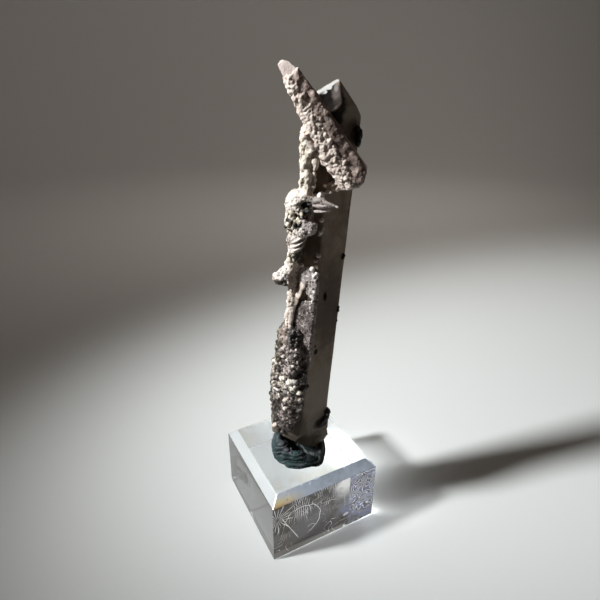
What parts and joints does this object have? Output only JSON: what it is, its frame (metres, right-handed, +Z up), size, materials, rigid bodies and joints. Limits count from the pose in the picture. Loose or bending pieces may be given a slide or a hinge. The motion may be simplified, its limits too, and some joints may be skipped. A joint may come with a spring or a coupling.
{
  "type": "quartz crystal specimen",
  "caption": "Smoky quartz prism with a crusted second crystal across its top, standing in mounting putty on a clear acrylic display block.",
  "frame": {"origin": "centre of the acrylic block's underside, where the specimen rests", "axes": "+Z up along the standing crystal; +X and +Y along the block's sides, with the block's two front faces towards -X and -Y"},
  "size_m": [0.038, 0.038, 0.1433],
  "materials": {
    "clear_acrylic": "polished clear acrylic with faint scratches, see-through",
    "mounting_putty": "kneaded dark teal putty with folds and a slight sheen",
    "smoky_quartz": "cloudy smoky quartz, satin faces with fine lengthwise striations",
    "pale_grains": "cream to pinkish-white crust of tiny rounded grains",
    "dark_grains": "crust of grey, cream and greenish-black grains",
    "black_mineral": "small lumps of dull black mineral"
  },
  "bodies": {
    "root": {"acrylic_block": "clear_acrylic", "tack_putty": "mounting_putty", "quartz_crystals": "smoky_quartz", "pale_druse": "pale_grains", "dark_druse": "dark_grains", "side_knob_1": "black_mineral", "side_knob_2": "black_mineral", "side_knob_3": "black_mineral", "side_knob_4": "black_mineral", "side_knob_5": "black_mineral"}
  },
  "joints": []
}
